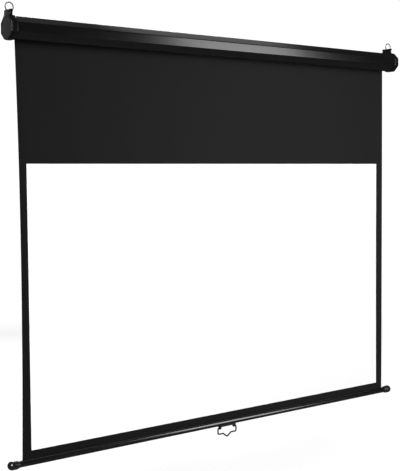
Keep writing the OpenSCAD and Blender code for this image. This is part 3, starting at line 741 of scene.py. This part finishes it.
@dataclass
class Housing(Assembly):
    """The rolled case, its moulded end caps and the wire rings."""

    flats: float = 76 * MM
    wall: float = 1 * MM
    bend: float = 5 * MM
    slot: float = 15 * MM
    lip: float = 6 * MM
    lip_bend: float = 0.8 * MM
    cap_over: float = 3 * MM
    rim: float = 3 * MM
    rim_corner: float = 8 * MM
    sleeve: float = 6 * MM
    sleeve_slope: float = 5 * MM
    sleeve_lip: float = 0.8 * MM
    edge_wear: float = 0.35
    spigot: float = 16 * MM
    spigot_wall: float = 2.5 * MM
    spigot_fit: float = 0.1 * MM
    spigot_short: float = 3 * MM
    spigot_bend: float = 2 * MM
    neck_thick: float = 9 * MM
    neck_edge: float = 1.1 * MM
    neck_waist: float = 46 * MM
    neck_flare: float = 50 * MM
    flare_high: float = 6 * MM
    waist_drop: float = 11 * MM
    neck_below: float = 7 * MM
    shoulder_deep: float = 59.28 * MM
    neck_foot: float = 22.8 * MM
    neck_slope: float = 12.8 * MM
    hole_back: float = 8 * MM
    hole_drop: float = 7.3 * MM
    hole_radius: float = 3.5 * MM
    ring_wire: float = 4 * MM
    joint_turn: float = 4.0
    joint_crowd: float = 0.25
    joint_dip: float = 0.2
    joint_long: float = 0.35 * MM

    def build(self, sheet_y: float) -> None:
        """Builds the case, both caps and both rings.

        Args:
            sheet_y: Y of the hanging sheet, which the slot is centred on
        """
        self.axis_y = -self.flats / 2
        self.slot_from = sheet_y - self.slot / 2 - self.axis_y
        self.end = corners("case_shell")[1][0]
        self.face, _, self.neck_top = corners("right_end_cap")[1]
        self.waist_z = self.neck_top - self.waist_drop
        self.put("rolled_case", self.case(), "black_case_paint", Body.HOUSING, "case_shell")
        cap, ring = self.cap(), self.ring()
        for side, body in ((Side.LEFT, Body.LEFT_RING), (Side.RIGHT, Body.RIGHT_RING)):
            word = side.value
            self.put(f"{word}_cap_moulding", side.of(cap), "black_cap_plastic", Body.HOUSING, f"{word}_end_cap")
            self.put(f"{word}_wire_ring", side.of(ring), "ring_chrome", body, f"{word}_ring")

    def shell_path(self, flats: float, spread: float, lip: float, bend: float) -> Outline:
        """The case's section from the slot's front edge, round the front and the top, to its rear edge.

        The corners are those of an octagon, at the flats' half width over cos 22.5 degrees.

        Args:
            flats: width across the flats of the line followed
            spread: how far it stops short of the slot at each edge
            lip: height of the lips, or 0 for none
            bend: radius of the bends

        Returns:
            The open path, its left side outwards.
        """
        half = flats / 2
        front, rear = self.slot_from - spread, self.slot_from + self.slot + spread
        rear_z = rear - half - half * math.tan(math.pi / 8)
        angle = np.radians(-112.5 - 45 * np.arange(7))
        bends = polar(angle, half / math.cos(math.pi / 8))
        path, radii = [[front, -half], *bends, [rear, rear_z]], [bend] * len(bends)
        if lip:
            path = [[front, lip - half], *path, [rear, rear_z + lip]]
            radii = [self.lip_bend, *radii, self.lip_bend]
        return Outline.rounded(np.array(path), np.array(radii), 7)

    def case(self) -> Surface:
        """The roll-formed case: its section carried from end to end."""
        middle = self.wall / 2
        path = self.shell_path(self.flats - self.wall, middle, self.lip, self.bend - middle)
        return bar_along_x(path.thick(self.wall), -self.end, self.end).moved(y=self.axis_y)

    def cap(self) -> Surface:
        """The right cap: octagon rings from the pocket over the sleeve and the rim to the face, neck and spigot.

        Over the rim the ring's half width falls as r (1 - cos a) while X rises as r sin a. Points past
        the wall's plane are brought back to it.

        Returns:
            The closed surfaces of the cap as one.
        """
        wide = self.flats + 2 * self.cap_over
        plate, hollow = wide - 2 * MM, self.flats - 2 * self.wall - 7 * MM
        start, lip = self.end - self.sleeve, self.flats + 2 * self.sleeve_lip
        pocket = np.vstack([
            cuts(self.face, 0, (-4, 10, 2)),
            cuts(self.face, hollow, (-4, -13, 3)),
            cuts(self.end, hollow, (2.4, -13, 3), (2.4, 0, 3), (0, 0, 3)),
        ])
        sleeve = np.vstack([
            cuts(self.end, self.flats, (0, 0.2, 3.1)),
            cuts(start, self.flats, (0, 0.2, 3.1)),
            cuts(start, lip, (0, -0.5, 3.5), (0.25, 0, 3.8)),
            cuts(start + self.sleeve_slope, wide, (-0.7, -0.7, 8.6), (0, -0.15, 8.9), (0.7, 0, 9)),
            cuts(self.face, wide, (-8.1, 0, 9), (-7.6, -0.3, 8.8), (-7.3, -1.2, 8.4)),
            cuts(self.face, plate, (-7.2, -2.6, 7), (-5.8, -2.6, 7), (-5.7, -0.8, 7.8), (-5.4, -0.2, 8), (-5, 0, 8)),
        ])
        a = np.linspace(0, math.pi / 2, 8)
        fall = self.rim * (1 - np.cos(a))
        rim = np.stack([self.face - self.rim + self.rim * np.sin(a), plate - 2 * fall, self.rim_corner - fall / 2], 1)
        face = cuts(self.face, 0, (0, 70.4, 6), (-0.25, 69.6, 5.8), (-1.1, 69, 5.6), (-1.1, 67, 5.4),
                    (-0.7, 66.2, 5.2), (-0.7, 55, 5), (-0.5, 30, 5), (-0.4, 8, 1.5))
        exposed = np.concatenate([np.zeros(len(pocket) + len(sleeve)), np.sin(2 * a), np.zeros(len(face))])
        exposed[len(pocket) + np.array([3, 5, 8])] = self.edge_wear
        rings = np.vstack([pocket, sleeve, rim, face])
        sections = [octagon(flats, radius, 7).points for flats, radius in rings[:, 1:]]
        block = Surface.lattice(stacked(sections, rings[:, 0]), wear=exposed[:, None])
        middle = self.flats - 2 * (self.wall + self.spigot_fit) - self.spigot_wall
        tube = self.shell_path(middle, self.spigot_short, 0, self.spigot_bend).thick(self.spigot_wall)
        spigot = bar_along_x(tube, self.end - self.spigot, self.end + 0.5 * MM)
        made = block.joined(spigot).moved(y=self.axis_y).joined(self.neck(), self.shoulder())
        made.points[:, 1] = np.minimum(made.points[:, 1], 0)
        return made

    def reach(self, z: Array) -> Array:
        """Reach of the neck from the wall at a height.

        Below the waist it grows as the power 2.2 of the height still to go, like a bottle's shoulder, and
        above the waist as the square of the height gone, up to the flare.
        """
        below = np.clip((self.waist_z - z) / (self.waist_z - self.neck_foot), 0, 1) ** 2.2
        above = np.clip((z - self.waist_z) / self.flare_high, 0, 1) ** 2
        waist = self.neck_waist
        return waist + (self.shoulder_deep - waist) * below + (self.neck_flare - waist) * above

    def neck(self) -> Surface:
        """The hanging neck's plate: flat at the wall, flared at its top, with the ring's hole.

        The hole's points lie on the rays from its centre to the edge.

        Returns:
            The closed surface.
        """
        z = np.linspace(self.waist_z - self.neck_below, self.neck_top, 34)
        around = np.vstack([np.stack([-self.reach(z), z], 1), [[0, self.neck_top], [0, z[0]]]])
        radii = np.full(len(around), 0.2 * MM)
        radii[len(z) - 1:len(z) + 1] = 1.2 * MM
        edge = Outline.rounded(around, radii, 3, closed=True)
        centre = np.array([self.axis_y + self.hole_back, self.neck_top - self.hole_drop])
        hole = centre + unit(edge.points - centre) * self.hole_radius
        return holed_plate(edge, hole, self.end, self.end + self.neck_thick, self.neck_edge)

    def shoulder(self) -> Surface:
        """The shoulder under the neck: boxes in X and Y, each as deep as the neck reaches at its height.

        The outer face slopes evenly from the neck's face at the waist to the cap's face.

        Returns:
            The closed surface.
        """
        z = np.linspace(self.neck_foot, self.waist_z, 24)
        slope = np.clip((self.waist_z - z) / (self.waist_z - self.neck_slope), 0, 1)
        slope = slope * slope * (3 - 2 * slope) * 0.35 + slope * 0.65
        skin, near = 0.05 * MM, self.end + self.neck_thick
        low = np.stack([np.full(len(z), self.end + 0.4 * MM), skin - self.reach(z)], 1)
        high = np.stack([near - skin + slope * (self.face - 1 * MM - near), np.full(len(z), -skin)], 1)
        rings = box_rings(low, high, self.neck_edge)
        return Surface.lattice(np.concatenate([rings, np.broadcast_to(z[:, None, None], (*rings.shape[:2], 1))], -1))

    def ring(self) -> Surface:
        """The right ring: a round wire closed on itself, with a fine butt joint low on its outer side.

        The wire's radius dips by a fifth where the two ends meet, as exp(-(arc / w)^2), and the wire's
        points crowd together there.

        Returns:
            The closed surface.
        """
        low, high = corners("right_ring")
        outer, thin = (high[0] - low[0]) / 2, self.ring_wire / 2
        a = turns_of(120)
        a = a + self.joint_crowd * np.sin(a - self.joint_turn)
        size = thin * (1 - self.joint_dip * np.exp(-(((a - self.joint_turn) * outer / self.joint_long) ** 2)))[:, None]
        b = turns_of(WIRE_SIDES)
        reach = (outer - thin) + size * np.cos(b)
        rows = np.stack([reach * np.cos(a)[:, None], size * np.sin(b), reach * np.sin(a)[:, None]], -1)
        return Surface.lattice(rows + (low + high) / 2, loop=True)


@dataclass
class Cloth(Assembly):
    """The hanging sheet, its white coating, its hem and the turns left on the roller."""

    thick: float = 0.5 * MM
    draw: float = 11 * MM
    white_draw: float = 2 * MM
    wave: float = 0.42 * MM
    ripples: tuple[tuple[float, float, float, float], ...] = ((0.46, 1.0, 1.3, 0.5), (0.21, 0.6, 0.0, 1.7))
    curl: float = 2.2 * MM
    curl_wide: float = 18 * MM
    coat_proud: float = 0.1 * MM
    turn_step: float = 0.95 * MM
    turn_count: float = 1.25
    turn_gap: float = 0.32 * MM

    def build(self) -> None:
        low, high = corners("screen_fabric")
        self.half, self.bottom = high[0], low[2]
        self.y = (low[1] + high[1]) / 2
        self.case_bottom, self.bar_top = -corners("case_shell")[1][2], corners("weight_bar")[1][2]
        sheet = self.put("hanging_sheet", self.panel(high[2]), "black_sheet", Body.HOUSING, "screen_fabric")
        coat = self.put("white_area", self.coating(), "white_coat", Body.HOUSING, "viewing_surface")
        for piece in (sheet, coat):
            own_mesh(piece)
        strip, strip_long = self.hem()
        hem = self.put("hem_strip", strip, "black_sheet", Body.BAR, "fabric_hem")
        turns, turns_long = self.turns()
        wound = self.put("sheet_turns", turns, "black_sheet", Body.ROLLER, "fabric_wraps")

    def bow(self, z: Array) -> Array:
        """How much of the draw of an edge there is at a height: 4 t (1 - t) between the case and the bar."""
        t = np.clip((z - self.case_bottom) / (self.bar_top - self.case_bottom), 0, 1)
        return 4 * t * (1 - t)

    def left_edge(self, z: Array) -> Array:
        """X of the left edge at a height; the right edge hangs straight."""
        return self.draw * self.bow(z) - self.half

    def depth(self, x: Array, z: Array) -> Array:
        """How far the cloth stands back from its plane.

        Two slow sine waves across the width, each with its length, weight, phase and lean, make soft
        upright ripples. They stand behind the plane and so clear of the turns on the roller. As
        exp(-distance / reach) the cloth curls back near its left edge and forward near its right one.
        All of it fades to nothing at the case and at the hem.
        """
        t = np.clip((z - self.case_bottom) / (self.bottom - self.case_bottom), 0, 1)
        fade = np.sin(np.pi * t)
        ripple = sum(weight * (1 + np.sin(2 * np.pi * x / length + phase + lean * z))
                     for length, weight, phase, lean in self.ripples)
        curl = np.exp((self.left_edge(z) - x) / self.curl_wide) - np.exp((x - self.half) / self.curl_wide)
        return fade ** 0.7 * self.wave * ripple + fade ** 0.525 * self.curl * curl

    def leaf(self, x: Array, z: Array, front: float, back: float) -> Surface:
        """A closed leaf between two depths: rows go down its front, and columns run over it and back behind."""
        y = self.y + self.depth(x, z)
        face, rear = np.stack([x, y + front, z], -1), np.stack([x, y + back, z], -1)
        return Surface.lattice(np.concatenate([face, rear[:, ::-1]], 1))

    def panel(self, top: float) -> Surface:
        """The whole black sheet from the roller to the white area's lower edge, with finer columns at its sides."""
        z = np.linspace(top, self.bottom, 121)[:, None]
        left = self.left_edge(z)
        s = np.linspace(0, 1, 161)
        s = 0.35 * (0.5 - 0.5 * np.cos(np.pi * s)) + 0.65 * s
        x = left + (self.half - left) * s
        return self.leaf(x, np.broadcast_to(z, x.shape), -self.thick / 2, self.thick / 2)

    def coating(self) -> Surface:
        """The white area, standing a tenth of a millimetre proud of the sheet and drawn in a little with it."""
        low, high = corners("viewing_surface")
        x, z = np.meshgrid(np.linspace(low[0], high[0], 121), np.linspace(high[2], low[2], 91))
        x = x * (1 - self.white_draw / high[0] * self.bow(z))
        return self.leaf(x, z, -self.thick / 2 - self.coat_proud, -self.thick / 2 + self.coat_proud / 2)

    def hem(self) -> tuple[Surface, float]:
        """The strip below the white area and its loop round the rod: one section carried along X.

        The loop is a circle about the rod whose ends meet under the strip. The ends of the strip
        follow the sheet's edges.

        Returns:
            The closed surface and the length of cloth in it.
        """
        low, high = corners("hem_rod")
        _, y, z = (low + high) / 2
        radius = (high[2] - low[2]) / 2 + 0.1 * MM + self.thick / 2
        a = np.radians(np.linspace(82, -262, 60))
        loop = polar(a, radius, (y, z))
        drop = np.linspace(self.bottom - 0.02 * MM, z + radius + 2.5 * MM, 6)
        path = Outline.traced(np.vstack([np.stack([np.full(len(drop), y), drop], 1), loop]))
        section = path.thick(self.thick).points
        left = self.left_edge(section[:, 1])
        x = left + (self.half - left) * np.linspace(0, 1, 3)[:, None]
        rows = np.concatenate([x[..., None], np.broadcast_to(section, (3, *section.shape))], -1)
        return Surface.lattice(rows), path.length()

    def turns(self) -> tuple[Surface, float]:
        """The sheet left on the roller: a spiral whose radius falls by one step in each turn.

        Returns:
            The closed surface and the length of cloth in it.
        """
        low, high = corners("roller_tube")
        turned = np.linspace(0, self.turn_count, 181)
        r = high[2] + self.turn_gap + self.thick / 2 + self.turn_step * (self.turn_count - turned)
        path = Outline.traced(polar(2 * np.pi * turned, r, ((low[1] + high[1]) / 2, 0)))
        return bar_along_x(path.thick(self.thick), -self.half, self.half), path.length()


@dataclass
class PullBar(Assembly):
    """The weight bar, its end plugs, the handle's base and the wire handle."""

    wall: float = 1.2 * MM
    slot: float = 3 * MM
    fit: float = 0.1 * MM
    base_thick: float = 4 * MM
    base_wide: float = 15 * MM
    base_edge: float = 0.7 * MM
    eye_long: float = 8 * MM
    eye_over: float = 2.5 * MM
    eye_edge: float = 0.6 * MM
    eye_fit: float = 0.05 * MM
    wire: float = 6 * MM
    bend: float = 6 * MM
    run_drop: float = 24 * MM
    notch_half: float = 20 * MM
    notch_drop: float = 15 * MM

    def build(self) -> None:
        """Builds every piece that hangs from the sheet."""
        low, high = corners("weight_bar")
        self.half, self.r = high[0], (high[1] - low[1]) / 2
        self.y, self.z = (low[1] + high[1]) / 2, low[2] + self.r
        self.hinge = corners("pull_handle")[1][2] - self.wire / 2
        self.put("bar_tube", self.tube(), "black_bar_paint", Body.BAR, "weight_bar")
        plug = self.plug()
        for side in (Side.RIGHT, Side.LEFT):
            word = side.value
            self.put(f"{word}_round_plug", side.of(plug), "black_plug_plastic", Body.BAR, f"{word}_bar_plug")
        self.put("handle_saddle", self.saddle(), "handle_base_plastic", Body.BAR, "handle_base")
        self.put("wire_handle", self.handle(), "handle_wire", Body.HANDLE, "pull_handle")

    def tube(self) -> Surface:
        """The slotted tube: an arc of the wall's middle radius that leaves the slot open at the top."""
        middle = self.r - self.wall / 2
        gap = math.asin(self.slot / 2 / middle)
        a = np.linspace(math.pi / 2 - gap, gap - 1.5 * math.pi, 129)
        path = Outline.traced(polar(a, middle, (self.y, self.z)))
        return bar_along_x(path.thick(self.wall), -self.half, self.half)

    def plug(self) -> Surface:
        """The right plug: a collar, a cone, a fine groove and a domed knob turned about the bar's line.

        The profile's rows are millimetres from the bar's end and from its line. The dome's X rises as
        r sin a while its radius falls as r cos a.

        Returns:
            The closed surface.
        """
        reach, _, top = corners("right_bar_plug")[1]
        knob = top - self.z
        a = np.linspace(0, math.radians(88.5), 18)
        dome = np.stack([reach - self.half - knob + knob * np.sin(a), knob * np.cos(a)], 1)
        start = np.array([
            [-22, 9.896], [-21.6, 10], [-0.4, 10], [0.1, 10], [0.1, 12.2], [0.3, 12.5], [0.8, 12.6], [2.5, 13.15],
            [7.9, 14.9], [8.3, 15.0], [8.6, 15.03], [9.9, 15.1], [10.3, 14.4], [11.2, 14.4], [11.6, 15.2],
            [12.1, 15.65], [12.9, 15.9], [13.5, 15.97], [20, 16.0], [26, 16.0]]) * MM
        return lathe(np.vstack([start, dome]), (self.half, self.y, self.z))

    def saddle(self) -> Surface:
        """The handle's base: a plate hollowed to the bar with an eyelet at each end.

        An eyelet's edge is a circle below its hole and a square above: its reach at angle a is the
        radius, or above the hole the least of r / |cos a| and the height / sin a.

        Returns:
            The closed surfaces of the base as one.
        """
        long, bottom = corners("handle_base")[1][0], -self.r - self.base_thick
        half, bore = self.base_wide / 2, self.r + self.fit
        edge = math.asin(half / bore)
        a = np.linspace(edge, -edge, 25) - math.pi / 2
        around = np.vstack([[[-half, bottom], [half, bottom]], polar(a, bore)])
        inward = Outline.rounded(around, np.r_[1.6, 1.6, np.full(len(a), 0.05)] * MM, 4, closed=True)
        plate = bar_along_x(replace(inward, normals=-inward.normals), -long, long, self.base_edge)
        hinge, eye = self.hinge - self.z, self.wire / 2 + self.eye_over
        ring = polar(-turns_of(ROUND_SIDES))
        side, up = np.maximum(abs(ring[:, 0]), TINY), np.maximum(ring[:, 1], TINY)
        square = np.minimum(eye / side, (bottom - hinge + self.eye_edge) / up)
        rim = Outline.traced(ring * np.where(ring[:, 1] > 0, square, eye)[:, None], True)
        hole = ring * (self.wire / 2 + self.eye_fit)
        eyelet = holed_plate(rim, hole, long - self.eye_long, long, self.eye_edge).moved(z=hinge)
        return plate.joined(eyelet, eyelet.mirrored()).moved(y=self.y, z=self.z)

    def handle(self) -> Surface:
        """The wire handle: its pins, straight legs, runs and V-shaped notch with a round bend at each corner."""
        side = corners("pull_handle")[1][0] - self.wire / 2
        inner = corners("handle_base")[1][0] - self.eye_long + 1 * MM
        run = self.hinge - self.run_drop
        right = np.array([[inner, self.hinge], [side, self.hinge], [side, run], [self.notch_half, run]])
        path = np.vstack([right * [-1, 1], [[0, run - self.notch_drop]], right[::-1]])
        return wire(Outline.rounded(path, self.bend, 8), self.wire / 2, self.y)


@dataclass
class Studio:
    """The pale floor, the soft lights and the camera."""

    floor_z: float = -2.1
    floor_half: float = 14.0
    world_dim: float = 0.04
    world_white: float = 1.05
    eye: tuple[float, float, float] = (-2.5572, -3.0989, -0.4950)
    yaw: float = 38.217
    pitch: float = -3.470
    roll: float = -0.460
    lens: float = 76.95

    def build(self) -> None:
        """Makes the floor, the lights, the sky and the camera."""
        self.floor()
        self.sky()
        self.lamp("key_light", (-3.8, -4.3, 1.9), (0.5, 0.0, -1.0), (3.0, 2.6), 495)
        self.lamp("strip_light", (2.58, -3.1, -0.45), (0.0, -0.04, -0.6), (0.96, 2.7), 70)
        self.lamp("top_light", (1.95, 0.42, 2.7), (0.0, -0.06, 0.0), (1.3, 1.2), 4.6)
        self.lamp("cap_light", (0.5, 0.38, 2.6), (-0.9, -0.05, 0.0), (0.6, 0.6), 0.25)
        self.lamp("side_light", (-1.9, 2.3, 0.4), (-0.6, 0.0, 0.0), (1.0, 1.4), 2)
        self.lamp("back_light", (2.0, 4.5, 1.5), (0.0, 0.0, -0.6), (3.0, 2.5), 320)
        self.camera()

    def floor(self) -> None:
        """A wide pale floor with a faint mottle, which stays dim in the black parts' reflections."""
        x, y = np.meshgrid(*[np.linspace(-self.floor_half, self.floor_half, 15)] * 2)
        top = np.stack([x, y, np.full(x.shape, self.floor_z)], -1)
        plane = Surface.lattice(np.concatenate([top, top[:, ::-1] - [0, 0, 0.05]], 1)).to_object("floor")
        made = bpy.data.materials.new("pale_floor")
        tree = Tree.of(made)
        place = tree.add("TexCoord").outputs["Object"]
        seen = tree.add("LightPath").outputs["Is Camera Ray"]
        pale = tree.blend(tree.noise(place, 1.5, 3.0), (0.48, 0.48, 0.48, 1), (0.52, 0.52, 0.52, 1))
        away = tree.add("VectorMath", {0: place}, operation="LENGTH").outputs["Value"]
        far = tree.add("MapRange", {0: away, 1: 3.5, 2: 9.0, 3: 0.5, 4: 1.02}, interpolation_type="SMOOTHSTEP")
        shader = tree.add("BsdfPrincipled", {
            "Base Color": tree.blend(seen, (0.12, 0.12, 0.12, 1), pale), "Roughness": 0.9, "Specular IOR Level": 0.2,
            "Emission Color": (1, 1, 1, 1), "Emission Strength": tree.math("MULTIPLY", seen, far.outputs[0]),
        })
        tree.add("OutputMaterial", {"Surface": shader.outputs[0]})
        plane.data.materials.append(made)

    def sky(self) -> None:
        """White to the eye and dim to everything else, so that the black parts keep their depth."""
        world = bpy.context.scene.world = bpy.data.worlds.new("soft_white")
        tree = Tree.of(world)
        seen = tree.add("LightPath").outputs["Is Camera Ray"]
        strength = tree.spread(seen, self.world_dim, self.world_white)
        light = tree.add("Background", {"Color": (1, 1, 1, 1), "Strength": strength})
        tree.add("OutputWorld", {"Surface": light.outputs[0]})

    def lamp(self, name: str, at: tuple, towards: tuple, size: tuple[float, float], watts: float) -> None:
        """A rectangular soft light.

        Args:
            name: its name
            at: where it stands
            towards: the point that it faces
            size: its width and height
            watts: its power
        """
        data = bpy.data.lights.new(name, "AREA")
        data.shape, data.size, data.size_y, data.energy = "RECTANGLE", *size, watts
        made = bpy.data.objects.new(name, data)
        made.location = at
        made.rotation_euler = (Vector(towards) - Vector(at)).to_track_quat("-Z", "Y").to_euler()
        bpy.context.scene.collection.objects.link(made)

    def camera(self) -> None:
        """The photograph's camera: turned by the roll, tipped up from straight down, then turned by the yaw."""
        data = bpy.data.cameras.new("camera")
        data.lens, data.sensor_width, data.clip_end = self.lens, 36, 100
        made = bpy.data.objects.new("camera", data)
        place = Matrix.Translation(self.eye)
        for degrees, axis in ((-self.yaw, "Z"), (90 + self.pitch, "X"), (self.roll, "Z")):
            place = place @ Matrix.Rotation(math.radians(degrees), 4, axis)
        made.matrix_world = place
        bpy.context.scene.collection.objects.link(made)
        bpy.context.scene.camera = made


def dress_cad(materials: dict[str, bpy.types.Material]) -> None:
    """Gives every CAD node that stays its material.

    Args:
        materials: the materials by slot
    """
    for slot, nodes in CAD_FINISHES.items():
        for node in nodes:
            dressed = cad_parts[node].data.materials
            dressed.clear()
            dressed.append(materials[slot])
            LOG.info("%s keeps its solid in %s", node, slot)


def main() -> None:
    """Builds the screen from its materials to its lights."""
    logging.basicConfig(level=logging.INFO, format="%(message)s")
    for group in (grain_group, brush_group, weave_group, wear_group, dust_group):
        group()
    materials = {slot: finish.material(slot) for slot, finish in FINISHES.items()}
    dress_cad(materials)
    cloth = Cloth(materials)
    cloth.build()
    Housing(materials).build(cloth.y)
    PullBar(materials).build()
    Studio().build()
    bpy.context.scene.view_settings.view_transform = "Standard"


if __name__ == "__main__":
    main()
